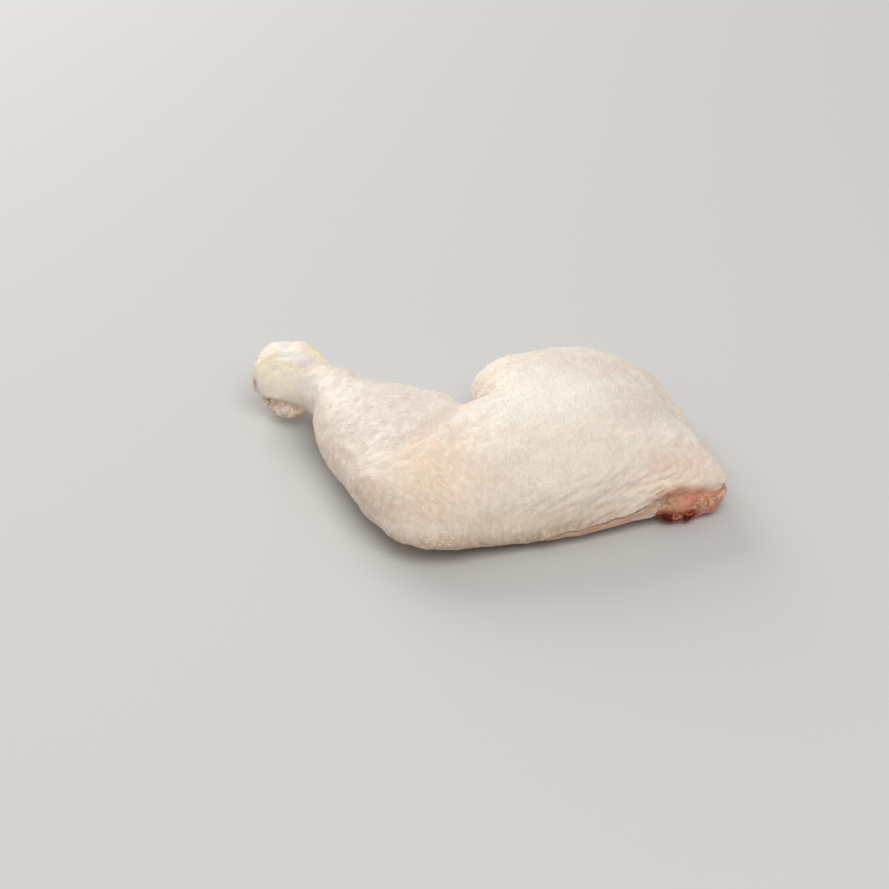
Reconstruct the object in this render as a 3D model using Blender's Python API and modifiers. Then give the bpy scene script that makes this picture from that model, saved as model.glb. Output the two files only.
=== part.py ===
"""A raw chicken leg quarter: drumstick and thigh in one, lying on its inner side.

The leg is one closed solid. Two lofted forms make it: the drumstick, from the
hock knuckle to the knee, and the thigh, a thick slab of meat from the knee to
the cut at the hip. They are joined, run together by a voxel remesh, and then
given the folds that the skin shows: the crease where the thigh lies on the
drumstick, the fold under the knuckle, the skin's cut edge along the thigh and
the ragged meat at the hip.

Metres, +Z up. +X runs from the hock to the hip, +Y from the knee to the back
of the thigh. The origin is the middle of the footprint.
"""

from math import cos, exp, hypot, pi, radians, sin

import bmesh
import bpy
from mathutils import Matrix, Vector, noise

MM = 0.001

# ---------------------------------------------------------------- sizes, mm
# Drumstick stations: x, y, z of the middle, half width on the near side and
# on the far side, half height.
DRUMSTICK = (
    (-110.5, 14.5, 17.0, 5.0, 5.0, 6.0),
    (-108.0, 14.5, 17.5, 9.5, 9.5, 10.0),
    (-102.5, 14.0, 18.0, 13.0, 13.0, 12.8),
    (-94.0, 13.0, 18.5, 13.5, 13.5, 13.0),
    (-85.5, 11.2, 18.5, 12.0, 12.0, 12.2),
    (-77.0, 8.0, 18.0, 10.6, 10.8, 11.3),
    (-67.0, 2.5, 17.5, 12.0, 12.0, 12.5),
    (-56.0, -4.5, 17.2, 19.3, 17.8, 15.3),
    (-42.0, -12.0, 17.5, 27.3, 27.0, 17.8),
    (-24.0, -21.0, 17.8, 31.5, 36.5, 19.0),
    (-4.0, -32.0, 18.0, 37.8, 27.0, 19.0),
    (10.0, -40.0, 17.5, 35.0, 26.0, 17.0),
    (19.0, -45.0, 17.0, 21.0, 16.0, 11.0),
)
SECTION_ROUNDNESS = 0.94  # 1 is an ellipse, less is fuller at the corners

# Thigh outline: x, y and height of its widest place, round the form.
THIGH_OUTLINE = (
    (-4.0, 22.0, 17.0),
    (-13.0, 36.0, 16.0),
    (-9.0, 52.0, 14.0),
    (3.0, 71.0, 13.0),
    (21.0, 77.0, 13.0),
    (38.0, 72.5, 13.0),
    (52.0, 58.5, 13.0),
    (67.0, 39.0, 13.0),
    (82.0, 24.0, 14.0),
    (97.5, 14.5, 15.0),
    (106.0, 8.5, 15.5),
    (98.5, -0.5, 15.0),
    (79.0, -16.0, 11.5),
    (54.5, -38.8, 9.0),
    (35.5, -54.5, 10.0),
    (14.0, -72.0, 12.0),
    (-6.0, -74.0, 13.0),
    (-18.0, -60.0, 14.0),
    (-19.0, -42.0, 16.0),
    (-11.0, -19.0, 18.0),
    (-3.0, 3.0, 18.0),
)
THIGH_CENTRE = (30.0, 2.0)
THIGH_TOP = 40.5
# Superellipse exponents of the thigh's section: 2 is an ellipse, more is fuller.
THIGH_TOP_FULLNESS = 2.2
THIGH_UNDERSIDE_FULLNESS = 2.1
# Rings nearer the centre lose the outline's corners: the share of the outline
# averaged on each side, and how late towards the rim the corners come in.
ROUNDING_SHARE = 1 / 6
ROUNDING_POWER = 3

# Skin flap beyond the back of the thigh: x, y, z of the middle, half width,
# half thickness, and the rise per millimetre from its margin inwards.
FLAP = (
    (27.0, 62.0, 17.5, 3.0, 1.5, 0.7),
    (36.0, 64.0, 20.0, 8.0, 2.2, 0.6),
    (46.5, 62.0, 20.5, 10.3, 2.4, 0.5),
    (55.5, 52.5, 19.5, 9.5, 2.2, 0.45),
    (66.0, 40.5, 19.8, 10.5, 2.4, 0.4),
    (76.0, 29.0, 18.3, 9.0, 2.2, 0.35),
    (86.5, 19.5, 17.8, 8.0, 2.2, 0.3),
    (97.0, 11.5, 16.5, 6.5, 2.2, 0.2),
    (104.0, 8.0, 16.0, 3.5, 2.0, 0.1),
)

# Inner layer under the skin's cut edge, along the near side of the hip.
INNER_RIM = (
    (46.0, -44.0, 6.0, 3.0, 2.0, 0.0),
    (57.0, -32.0, 6.0, 5.0, 3.5, 0.0),
    (69.5, -18.0, 7.5, 6.5, 4.5, 0.0),
    (80.0, -7.0, 8.5, 7.0, 5.0, 0.0),
    (90.0, 1.0, 9.0, 5.0, 4.0, 0.0),
)
BAND_BLUNTNESS = 0.75  # less than 1 gives a band a blunt margin

# Rounded lumps: name, middle, radii, and the heading of the first radius.
MASS_LUMPS = (
    ("hock_lower_lobe", (-93.5, 4.5, 8.8), (12.0, 6.8, 5.7), -10.0),
    ("thigh_back_lobe", (0.0, 34.5, 17.0), (17.5, 16.5, 16.0), 0.0),
)
NOTCH_CUT = ("notch_cut", (-8.5, 12.0, 33.0), (11.0, 7.5, 17.0), -20.0)
EDGE_LUMPS = (
    ("hip_meat_front", (89.0, -0.5, 6.8), (12.5, 8.8, 8.0), 38.0),
    ("hip_meat_tip", (97.0, 6.0, 9.5), (8.0, 7.0, 8.0), 30.0),
    ("hip_meat_back", (82.0, -3.0, 5.0), (6.0, 6.0, 6.0), 40.0),
)

# Folds pressed into the skin: width, depth, then the line they follow, from
# its deep end to where it runs out.
CREASE_ON_DRUMSTICK = (
    4.0,
    3.8,
    ((-14.0, 18.0, 12.0), (-11.0, 13.0, 20.0), (-9.0, 8.0, 25.0), (-12.0, 0.0, 29.0), (-17.0, -10.0, 31.0)),
)
CREASE_AT_BACK_LOBE = (4.0, 1.2, ((-9.0, 9.0, 24.0), (-1.0, 12.0, 31.0), (8.0, 15.0, 36.0)))
FOLD_UNDER_KNUCKLE = (
    2.6,
    1.6,
    ((-106.0, 5.0, 11.0), (-99.0, 0.0, 11.0), (-91.0, -1.5, 11.5), (-82.0, 1.0, 12.0)),
)
GROOVE_UNDER_CUT_EDGE = (
    2.0,
    1.7,
    ((104.0, 5.0, 13.5), (95.0, -1.0, 12.5), (79.0, -14.0, 9.0), (64.0, -30.0, 6.0), (50.0, -44.0, 5.0)),
)
FOLDS = (CREASE_ON_DRUMSTICK, CREASE_AT_BACK_LOBE, FOLD_UNDER_KNUCKLE, GROOVE_UNDER_CUT_EDGE)
FOLD_REACH = 3.0  # how many widths from its line a fold still sinks the skin

# Ragged cut meat at the hip: middle and reach of the area, height and size of
# its lumps, and the height where the skin begins.
CUT_MEAT = (92.0, 0.0, 4.0)
CUT_MEAT_REACH = 17.0
CUT_MEAT_ROUGHNESS = 1.6
CUT_MEAT_GRAIN = 5.0
CUT_MEAT_TOP = 14.0

# Slow unevenness of the skin, height and size.
SKIN_UNEVENNESS = 0.5
SKIN_UNEVENNESS_SIZE = 22.0

REST_DEPTH = 1.5  # how far the underside would bulge below where it lies flat
CUTTING_BLOCK = 400.0

SKIN_COLOUR = (0.80, 0.68, 0.61)
SKIN_ROUGHNESS = 0.42

# -------------------------------------------------------------- mesh fineness
RING_POINTS = 72
ROWS_PER_STATION = 8
DOME_RINGS = 26
LUMP_SUBDIVISIONS = 4
VOXEL = 1.3
SMALLEST_EDGE = 0.1
MASS_SOFTENING = 20  # smoothing rounds where the big forms meet
EDGE_SOFTENING = 5  # smoothing rounds where the thin ones join them
SOFTENING_FACTOR = 0.5
TRIANGLES = 10500


# ------------------------------------------------------------------ helpers
def smooth_rows(rows, steps):
    """The stations with a smooth curve run through each of their columns."""
    out = []
    last = len(rows) - 1
    for i in range(last):
        before, here = rows[max(i - 1, 0)], rows[i]
        there, after = rows[i + 1], rows[min(i + 2, last)]
        for k in range(steps):
            t = k / steps
            row = []
            for a, b, c, d in zip(before, here, there, after):
                turn_in, turn_out = (c - a) / 2, (d - b) / 2
                row.append(
                    (2 * t**3 - 3 * t**2 + 1) * b
                    + (t**3 - 2 * t**2 + t) * turn_in
                    + (-2 * t**3 + 3 * t**2) * c
                    + (t**3 - t**2) * turn_out
                )
            out.append(tuple(row))
    out.append(rows[last])
    return out


def closed_curve(points, steps):
    """A closed list of points with a smooth curve run through them."""
    padded = points[-1:] + points + points[:2]
    return smooth_rows(padded, steps)[steps : steps * (len(points) + 1)]


def power(value, exponent):
    """A signed power, the corner rounding of a superellipse."""
    return abs(value) ** exponent * (1 if value >= 0 else -1)


def heading_at(rows, i):
    """The level direction in which a centre line runs at its row i."""
    before, after = rows[max(i - 1, 0)], rows[min(i + 1, len(rows) - 1)]
    return Vector((after[0] - before[0], after[1] - before[1], 0)).normalized()


def loft(name, rings):
    """One closed mesh object through rings of equally many points, in mm."""
    bm = bmesh.new()
    loops = [[bm.verts.new(Vector(p) * MM) for p in ring] for ring in rings]
    count = len(loops[0])
    for a, b in zip(loops, loops[1:]):
        for i in range(count):
            j = (i + 1) % count
            bm.faces.new((a[i], a[j], b[j], b[i]))
    bm.faces.new(reversed(loops[0]))
    bm.faces.new(loops[-1])
    bmesh.ops.recalc_face_normals(bm, faces=bm.faces)
    mesh = bpy.data.meshes.new(name)
    bm.to_mesh(mesh)
    bm.free()
    return bpy.data.objects.new(name, mesh)


def apply_modifiers(obj):
    """Bakes the object's modifiers into its mesh."""
    bpy.context.view_layer.update()
    graph = bpy.context.evaluated_depsgraph_get()
    mesh = bpy.data.meshes.new_from_object(obj.evaluated_get(graph))
    obj.modifiers.clear()
    old = obj.data
    obj.data = mesh
    bpy.data.meshes.remove(old)


def guide(obj, collection):
    """Keeps a form that only shapes the leg out of what shows."""
    collection.objects.link(obj)
    obj.hide_render = True
    obj.display_type = "WIRE"


# -------------------------------------------------------------------- forms
def drumstick_form():
    """Oval sections square to the drumstick's bent centre line."""
    rows = smooth_rows(DRUMSTICK, ROWS_PER_STATION)
    rings = []
    for i, (x, y, z, near, far, high) in enumerate(rows):
        along = heading_at(rows, i)
        across = Vector((-along.y, along.x, 0))
        ring = []
        for k in range(RING_POINTS):
            t = 2 * pi * k / RING_POINTS
            wide = far if cos(t) > 0 else near
            side = across * (wide * power(cos(t), SECTION_ROUNDNESS))
            rise = high * power(sin(t), SECTION_ROUNDNESS)
            ring.append((x + side.x, y + side.y, z + rise))
        rings.append(ring)
    return loft("drumstick_form", rings)


def without_corners(spokes):
    """Each spoke's length averaged with its neighbours', round the outline."""
    count = len(spokes)
    window = round(count * ROUNDING_SHARE)
    out = []
    for i in range(count):
        near = [spokes[(i + j) % count] for j in range(-window, window + 1)]
        out.append(sum(near) / len(near))
    return out


def thigh_form():
    """A dome over the outline, and its flatter underside, as one closed mesh."""
    outline = closed_curve(THIGH_OUTLINE, ROWS_PER_STATION)
    centre_x, centre_y = THIGH_CENTRE
    spokes = [hypot(x - centre_x, y - centre_y) for x, y, edge in outline]
    round_spokes = without_corners(spokes)
    rings = []
    for k in range(1, 2 * DOME_RINGS):
        turn = pi * k / (2 * DOME_RINGS)
        upper = cos(turn) >= 0
        full = THIGH_TOP_FULLNESS if upper else THIGH_UNDERSIDE_FULLNESS
        reach, rise = power(sin(turn), 2 / full), power(cos(turn), 2 / full)
        corners = reach**ROUNDING_POWER
        ring = []
        for (x, y, edge), spoke, round_spoke in zip(outline, spokes, round_spokes):
            span = THIGH_TOP - edge if upper else edge + REST_DEPTH
            grow = reach * (corners + (1 - corners) * round_spoke / spoke)
            ring.append(
                (
                    centre_x + (x - centre_x) * grow,
                    centre_y + (y - centre_y) * grow,
                    edge + span * rise,
                )
            )
        rings.append(ring)
    return loft("leg_quarter", rings)


def band_form(name, stations):
    """A flat tube that leans down towards its margin."""
    rows = smooth_rows(stations, ROWS_PER_STATION)
    rings = []
    for i, (x, y, z, wide, thick, lean) in enumerate(rows):
        along = heading_at(rows, i)
        inward = Vector((along.y, -along.x, lean)).normalized()
        up = inward.cross(along)
        ring = []
        for k in range(RING_POINTS):
            t = 2 * pi * k / RING_POINTS
            side = inward * (wide * power(cos(t), BAND_BLUNTNESS))
            rise = up * (thick * power(sin(t), BAND_BLUNTNESS))
            ring.append(Vector((x, y, z)) + side + rise)
        rings.append(ring)
    return loft(name, rings)


def lump_form(name, middle, radii, heading):
    """A ball stretched to its radii, turned and put in its place."""
    bm = bmesh.new()
    bmesh.ops.create_icosphere(bm, subdivisions=LUMP_SUBDIVISIONS, radius=1.0)
    place = Matrix.Translation(Vector(middle) * MM) @ Matrix.Rotation(radians(heading), 4, "Z")
    stretch = Matrix.Diagonal((*(Vector(radii) * MM), 1.0))
    bmesh.ops.transform(bm, matrix=place @ stretch, verts=bm.verts)
    mesh = bpy.data.meshes.new(name)
    bm.to_mesh(mesh)
    bm.free()
    return bpy.data.objects.new(name, mesh)


# -------------------------------------------------------------------- steps
def run_together(leg, forms, cutters, guides, rounds):
    """Joins forms to the leg, cuts others out, and softens where they meet."""
    for form in forms + cutters:
        guide(form, guides)
        step = leg.modifiers.new(form.name, "BOOLEAN")
        step.operation = "DIFFERENCE" if form in cutters else "UNION"
        step.object = form
    remesh = leg.modifiers.new("run_together", "REMESH")
    remesh.mode = "VOXEL"
    remesh.voxel_size = VOXEL * MM
    soften = leg.modifiers.new("soften", "SMOOTH")
    soften.iterations = rounds
    soften.factor = SOFTENING_FACTOR
    apply_modifiers(leg)
    for form in forms + cutters:
        bpy.data.objects.remove(form, do_unlink=True)


def press_folds(mesh):
    """Sinks each fold's line into the surface, along the surface normals."""
    lines = []
    for width, depth, points in FOLDS:
        line = [Vector(p) for p in smooth_rows(points, ROWS_PER_STATION)]
        lines.append((width, depth, line))
    moves = []
    for vertex in mesh.vertices:
        place = vertex.co / MM
        sink = 0.0
        for width, depth, line in lines:
            steps = [(place - p).length for p in line]
            near = min(steps)
            if near < FOLD_REACH * width:
                along = steps.index(near) / (len(steps) - 1)
                sink += depth * (1 - along) ** 0.5 * exp(-((near / width) ** 2))
        moves.append(vertex.normal * (-sink * MM))
    for vertex, move in zip(mesh.vertices, moves):
        vertex.co += move


def roughen(mesh):
    """Makes the cut meat ragged and the skin slightly uneven."""
    middle = Vector(CUT_MEAT)
    moves = []
    for vertex in mesh.vertices:
        place = vertex.co / MM
        rise = SKIN_UNEVENNESS * noise.noise(place / SKIN_UNEVENNESS_SIZE)
        if place.z < CUT_MEAT_TOP:
            near = exp(-(((place - middle).length / CUT_MEAT_REACH) ** 4))
            rise += near * CUT_MEAT_ROUGHNESS * noise.noise(place / CUT_MEAT_GRAIN)
        moves.append(vertex.normal * (rise * MM))
    for vertex, move in zip(mesh.vertices, moves):
        vertex.co += move


def thin_out(leg):
    """Keeps the triangles that the shape needs."""
    thin = leg.modifiers.new("thin_out", "DECIMATE")
    thin.ratio = TRIANGLES / (2 * len(leg.data.polygons))
    apply_modifiers(leg)


def lay_flat(leg, guides):
    """Cuts the underside off level, at the height on which the leg rests."""
    middle = (0, 0, -CUTTING_BLOCK * MM / 2)
    bpy.ops.mesh.primitive_cube_add(size=CUTTING_BLOCK * MM, location=middle)
    below = bpy.context.object
    below.name = "surface_below"
    below.users_collection[0].objects.unlink(below)
    guide(below, guides)
    cut = leg.modifiers.new("lay_flat", "BOOLEAN")
    cut.operation = "DIFFERENCE"
    cut.object = below
    weld = leg.modifiers.new("no_slivers", "WELD")
    weld.merge_threshold = SMALLEST_EDGE * MM
    leg.modifiers.new("triangles", "TRIANGULATE")
    apply_modifiers(leg)
    bpy.data.objects.remove(below, do_unlink=True)


def move_to_middle(leg):
    """Puts the origin under the middle of the footprint, and says how far it moved."""
    xs = [v.co.x for v in leg.data.vertices]
    ys = [v.co.y for v in leg.data.vertices]
    zs = [v.co.z for v in leg.data.vertices]
    middle = Vector(((min(xs) + max(xs)) / 2, (min(ys) + max(ys)) / 2, min(zs)))
    leg.data.transform(Matrix.Translation(-middle))
    return middle


def skin_material():
    """Pale raw skin, creamy pink and softly moist."""
    material = bpy.data.materials.new("raw_skin")
    material.use_nodes = True
    shader = material.node_tree.nodes["Principled BSDF"]
    shader.inputs["Base Color"].default_value = (*SKIN_COLOUR, 1.0)
    shader.inputs["Roughness"].default_value = SKIN_ROUGHNESS
    shader.inputs["Metallic"].default_value = 0.0
    return material


def clear_scene():
    """Removes whatever the scene starts with."""
    for obj in list(bpy.data.objects):
        bpy.data.objects.remove(obj, do_unlink=True)


def new_collection(name):
    """A collection of that name in the scene."""
    collection = bpy.data.collections.new(name)
    bpy.context.scene.collection.children.link(collection)
    return collection


# -------------------------------------------------------------------- build
clear_scene()
parts = new_collection("chicken_leg_quarter")
guides = new_collection("cutters")
leg = thigh_form()
parts.objects.link(leg)

masses = [drumstick_form()] + [lump_form(*lump) for lump in MASS_LUMPS]
run_together(leg, masses, [lump_form(*NOTCH_CUT)], guides, MASS_SOFTENING)
edges = [band_form("flap_form", FLAP), band_form("inner_rim_form", INNER_RIM)]
edges += [lump_form(*lump) for lump in EDGE_LUMPS]
run_together(leg, edges, [], guides, EDGE_SOFTENING)

press_folds(leg.data)
roughen(leg.data)
thin_out(leg)
lay_flat(leg, guides)
leg.data.materials.append(skin_material())
footprint_middle = move_to_middle(leg)
print("The origin is at", [round(value / MM, 3) for value in footprint_middle], "mm in the stations' frame")
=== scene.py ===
"""The looks of a raw chicken leg quarter: its skin, its cut meat and fat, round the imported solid.

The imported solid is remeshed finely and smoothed. The skin is that surface
outside two openings, the cut hip and the cut hock. Inside them lie the inner
side of the leg, the hip's meat and the hock's end. Folds, wrinkles and
follicles are moved points, and named marks on a piece steer its colours.

Arrays hold millimetres in the part's frame, Blender's objects hold metres.
"""

from itertools import product
from math import cos, pi, radians, sin

import bpy
import numpy as np
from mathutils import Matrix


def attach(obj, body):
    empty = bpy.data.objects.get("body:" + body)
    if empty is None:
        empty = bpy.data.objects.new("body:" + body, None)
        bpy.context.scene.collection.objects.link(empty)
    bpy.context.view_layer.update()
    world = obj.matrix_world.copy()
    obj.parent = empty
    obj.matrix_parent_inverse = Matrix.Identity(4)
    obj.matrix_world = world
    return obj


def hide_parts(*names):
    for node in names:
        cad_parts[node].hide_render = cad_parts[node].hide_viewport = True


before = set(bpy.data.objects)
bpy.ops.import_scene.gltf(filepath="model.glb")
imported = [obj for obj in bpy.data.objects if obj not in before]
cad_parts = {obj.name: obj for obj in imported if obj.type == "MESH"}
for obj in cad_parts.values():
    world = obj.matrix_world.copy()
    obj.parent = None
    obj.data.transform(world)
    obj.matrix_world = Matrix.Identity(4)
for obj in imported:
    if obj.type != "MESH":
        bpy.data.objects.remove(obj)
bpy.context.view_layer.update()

MM = 0.001

# ---- camera
CAMERA_PLACE = (425.54, -912.77, 672.67)
CAMERA_TURN = (56.7099, 1.9636, 24.4111)  # degrees
CAMERA_LENS = 117.464
CAMERA_SENSOR = 36

# ---- lights
# name, heading and height in degrees, distance and size in metres, power, tint
LIGHTS = (
    ("back_light", 144, 26, 1.8, 1.2, 20, (1, 0.985, 0.965)),
    ("front_light", 314, 57, 1.8, 1.2, 16.5, (1, 0.99, 0.975)),
)
AMBIENT = 0.41

# ---- fineness
VOXEL = 0.745
SMOOTHING_ROUNDS = 30
SMOOTHING_STEPS = (0.5, -0.53)  # each round shrinks the form, then grows it again
FIELD_ROUNDS = 24

# ---- the openings in the skin
# The cut edge of the skin, once round: along the near side of the hip, past
# its tip, back under the flap, across the underside and up again.
HIP_EDGE = (
    (50, -47, 6.6), (55.8, -41.9, 7.8), (68.4, -30.7, 8.6), (74.6, -24.7, 9.7),
    (80.8, -18.4, 11.2), (85.4, -13.8, 13.7), (88.6, -11, 15.5), (93, -7.5, 14.8),
    (99.8, -1.5, 13.2), (104.8, 2.9, 12.6), (105.9, 7.5, 13), (99.3, 13.4, 14.2),
    (88.9, 25.2, 15.2), (78.8, 36.3, 15.3), (67.9, 49, 15.3), (57, 60.1, 15.4),
    (47, 68, 14.5), (35.7, 67.9, 13), (24.7, 58.9, 5), (20.7, 43.9, 0),
    (16.7, 18.9, 0), (18.7, -6.1, 0), (27.7, -26.1, 0), (38.7, -38.1, 1),
)
OPEN_SIDE_POINTS = 11  # the first points, where the edge faces outwards
OPEN_SIDE_REACH = 8
UNDERSIDE_SLOPE = -0.5
# The hock is cut across: a point of the cut, and the way from it into the leg.
HOCK_CUT = (-102.9, 0.3, 19.3)
HOCK_INWARD = (0.935, 0.303, 0.183)
HOCK_REACH = 26
FIELD_REACH = 12  # no distance from an edge counts as more than this
# The cut edges wave in and out, with smaller waves on top.
EDGE_WAVE, EDGE_WAVE_SIZE = 0.7, 5
RIPPLE_SHARE, RIPPLE_SIZE = 0.4, 1.8
SKIN_THICKNESS = 0.9
TUCK = 2.5  # how far the skin's inner side shows behind its edge
ROLL_STEPS = 7  # points round the edge's half circle
SMALLEST_RING = 40  # an opening with fewer corners gets no edge
EDGE_UNEVENNESS, EDGE_LUMP_SIZE = 0.35, 4
BLOODY_THINNING = 0.65  # how much thinner the edge is over the hip's meat

# ---- soft forms
# Folds and ridges: width, height (below 0 sinks), then the line, deep end first.
FOLDS = (
    # from the notch over the thigh
    (5, -3.2, ((-1.5, 0, 34.5), (1, 0.5, 35.5), (4, 2.5, 36.5), (8, 5, 37.5), (13, 7.5, 38.5))),
    (1.6, -0.7, ((3, -7, 36.8), (8, -5, 38.2), (13, -2, 39.2), (18, 2.3, 40))),
    # between drumstick and thigh, with a ridge beside it
    (5, -0.4, ((-1, -10, 35.3), (-3, -19, 36.6), (-5.5, -30, 36.6), (-8, -42, 36), (-8, -54, 33))),
    (5, 0.2, ((8, -14, 38), (5, -21, 37.5), (2.5, -29, 37), (1.5, -40, 36))),
    # under the knuckle's face, and the fuller skin above it
    (2.2, -2, (
        (-98, 1, 10.4), (-93.8, -0.7, 11.6), (-88.3, -1.2, 12.2), (-82, -1.2, 10.4), (-77, -2, 9.2),
    )),
    (5.5, 2, ((-98, 0.2, 16), (-94, -1, 16), (-88, -1.5, 16.2), (-81, -1.6, 16.5), (-75, -4.5, 19))),
    # down the knuckle beside the cut
    (1.4, -1.1, ((-98.6, 0.6, 11.5), (-100, 0.4, 14.5), (-101, 0.3, 17.5), (-101.6, 0.8, 20))),
    # the lip at the hip's tip
    (1.5, 0.7, (
        (106.8, 8.5, 16.5), (106.6, 5.6, 15), (105, 3.2, 14), (102.5, 0.4, 14.4), (100, -2.6, 14.8),
    )),
    # the full rim of the back flap
    (6.2, 3, (
        (90, 15.6, 21.3), (85, 19.6, 22.4), (72.1, 34.7, 22.8),
        (59.1, 47.7, 23.4), (46.6, 58.6, 22.4), (37, 64.5, 20.4),
    )),
    # round the drumstick's neck
    (2.5, 0.35, ((-62, 12, 26), (-60, 4, 30), (-60.5, -4, 30), (-64, -12, 25))),
)

# Swells, or dents where the height is below 0: middle, radius, height.
SWELLS = (
    ((-95, 13, 31), 8, -1.1),
    ((-87, 18.5, 28.5), 5.5, 1.9),
    ((-71, 11.5, 28), 4, -0.9),
    ((-63.5, 9, 28), 4.5, 1.1),
    ((-56, 5, 29), 2.5, -1.3),
    ((-105.5, 4, 19), 7, 1.1),
    ((-90, -3, 20.5), 7, 1),
    ((-9.5, 19, 16), 6, 0.8),
    ((-92, 1, 28), 7, -1.4),
    ((-83.5, 2, 28.5), 6, -1),
    ((-8.5, 33, 29), 6, -1.2),
    ((1, 43, 29), 6, 1),
    ((1, 14, 24), 8, 5.5),
    ((6.5, 14.5, 36.5), 5.5, -1.3),
    ((58, 65, 18), 8, -1.3),
    ((93, 22, 17), 8, 1.2),
)

# Where the skin bridges an edge or a groove of the solid: middle, radii, heading, strength.
EASED_ZONES = (
    ((58, -30, 28), (48, 12, 14), 44, 1),
    ((64, 31, 33), (32, 7, 5), -38, 1),
)
EASING_ROUNDS = 200

# Wrinkles run in a heading, in degrees from +X, and climb at an angle, inside an area.
WRINKLE_AREAS = (
    # middle, radii, heading, climb, length, spacing, height
    ((64, -30, 20), (34, 12, 13), 42, 22, 9, 2.3, 0.75),
    ((84, -8, 25), (22, 15, 13), 60, 12, 7, 2.3, 1),
    ((64, 8, 36), (26, 26, 12), 70, 0, 10, 2.6, 0.2),
    ((-66, 0, 22), (14, 16, 16), -62, 0, 12, 4, 0.5),
    ((-30, -50, 22), (34, 14, 16), -38, 0, 10, 4.5, 0.45),
    ((-92, 6, 20), (16, 14, 16), 20, 0, 9, 3, 0.5),
    ((-42, -36, 13), (36, 12, 10), 52, 60, 7, 3.2, 0.7),
    ((-92, -1, 20), (10, 6, 8), 0, 82, 8, 1.6, 0.3),
    ((-87, -2, 8), (10, 5, 4), 0, 20, 5, 2.2, 0.35),
)
UNEVENNESS = ((22, 0.5), (9, 0.5), (4.2, 0.24))  # size, height

# ---- follicles
# The rows of follicles run away from the camera over the thigh, and swing
# round the knee towards the drumstick.
THIGH_HEADING = 115.7
KNEE_HEADING = 154
KNEE_SWING = ((-8, -50), (34, -36))  # where the swing starts and ends, in plan
# Bumps: spacing, length, width.
STREAKS, STREAK_HEIGHT = (2.6, 1.7, 0.75), 0.2
KNEE_GAIN = 1.2  # how much higher the streaks are at the knee
DRUMSTICK_STREAKS = 0.35  # their height on the drumstick, as a share
DOTS, DOT_HEIGHT = (3.2, 1.1, 1.1), 0.17
GOOSEBUMPS, GOOSE_HEIGHT = (2.2, 0.8, 0.8), 0.5
KNUCKLE_ZONE = ((-92, 6, 18), (20, 18, 20), 0)
GOOSE_ZONE = ((-2, 34, 26), (16, 20, 18), 0)
JITTER = 0.9
# The crease between drumstick and thigh: where it crosses Y = 0, its lean and its softness.
CREASE_PLACE, CREASE_LEAN, CREASE_WIDTH = -6, 0.12, 3

# ---- colour zones
PAINTED_SHADE_TOP, PAINTED_SHADE_END = 16, 4  # painted shade: the skin is painted a darker tan from the first height down to the second
LIP_ZONE = ((88, -12, 16), (22, 7, 6), 44, 1)  # but the painted shade is left off along the hip's lip
PAINTED_SHADE_AT_KNUCKLE = 0.2  # the share of that painted shade left on the knuckle
SORE_WIDTH = 0.8
SORE_LINE = ((-101.4, 0.5, 19.2), (-101, 0.3, 17.5), (-100.3, 0.3, 15.8))
# Each tint's patches: middle, radii, heading in degrees, strength.
TINT_ZONES = {
    "lavender": (
        ((-30, -22, 34), (34, 19, 16), -35, 1),
        ((64, 16, 37), (20, 15, 10), -30, 0.9),
        ((40, 40, 34), (22, 14, 12), -15, 0.6),
        ((-81, 6, 28), (4, 4, 5), 0, 0.6),
    ),
    "yellow": (
        ((6, -50, 32), (17, 22, 20), 20, 1),
        ((-85, -2, 6.5), (9, 5, 2.6), 0, 0.4),
        ((58, 60, 20), (28, 9, 8), -47, 0.5),
        ((84, 33, 20), (22, 6, 8), -52, 0.4),
        ((10, 3, 37), (5, 3, 4), 40, 1),
        ((0, 24, 28), (9, 14, 12), -20, 0.5),
        ((50, -44, 12), (40, 12, 11), 44, 0.45),
    ),
    "cream": (
        ((-80, 16, 29), (9, 5, 6), -15, 1),
        ((-99, 5, 28), (6, 6, 5), 0, 1),
        ((-90, 3.5, 29), (9, 2, 3), -10, 0.7),
    ),
    "pink": (
        ((88, -6, 23), (18, 10, 9), 50, 0.9),
        ((-67, -11, 20), (7, 6, 7), 0, 0.4),
        ((27, -48, 31), (7, 9, 8), 60, 0.45),
        ((-90, -0.5, 9), (9, 3, 2.4), 0, 0.6),
        ((-98, 0, 13), (4, 3, 4), 0, 0.6),
        ((-104, 0, 17), (3.5, 4, 6), 0, 0.8),
        ((-42, -38, 16), (36, 12, 12), -38, 0.7),
        ((-18, -64, 22), (16, 8, 9), -30, 0.6),
    ),
    # Painted light: a brighter peach above the hip's lip, on the knuckle's face and on the hip's tip,
    # where the skin turns away from the lamps.
    "peach": (
        ((90, -10, 18.5), (20, 6, 5), 44, 1),
        ((-89, -2, 21), (13, 6, 6), 0, 0.8),
        ((106, 4.5, 15), (6, 6, 3), 45, 1),
    ),
    # Paler skin; on the knuckle's face and towards its neck the pale is partly painted light.
    "pale": (
        ((-89, 8, 31), (6, 5, 5), 0, 1),
        ((-88, -2, 22), (13, 6, 7), 0, 0.7),
        ((-72, -4, 24), (9, 9, 9), -20, 0.6),
        ((30, 6, 40), (26, 24, 12), 30, 0.7),
    ),
    # Painted shade in tan: under the knuckle's fold, on the lobe's bottom, in the notch's hollow, and
    # low on the knee and the near side.
    "tan": (
        ((-88, -1.5, 11.2), (12, 5, 2.2), 0, 0.6),
        ((-88, -3, 5), (12, 7, 3.4), 0, 0.45),
        ((-2, 10, 22), (6, 6, 8), 0, 0.35),
        ((-16, -66, 22), (16, 8, 7), -30, 0.55),
        ((22, -70, 11), (34, 8, 7), 10, 0.9),
        ((6, -64, 19), (34, 10, 9), 8, 0.55),
        ((60, -40, 7), (22, 6, 4), 44, 0.8),
    ),
}

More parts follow.
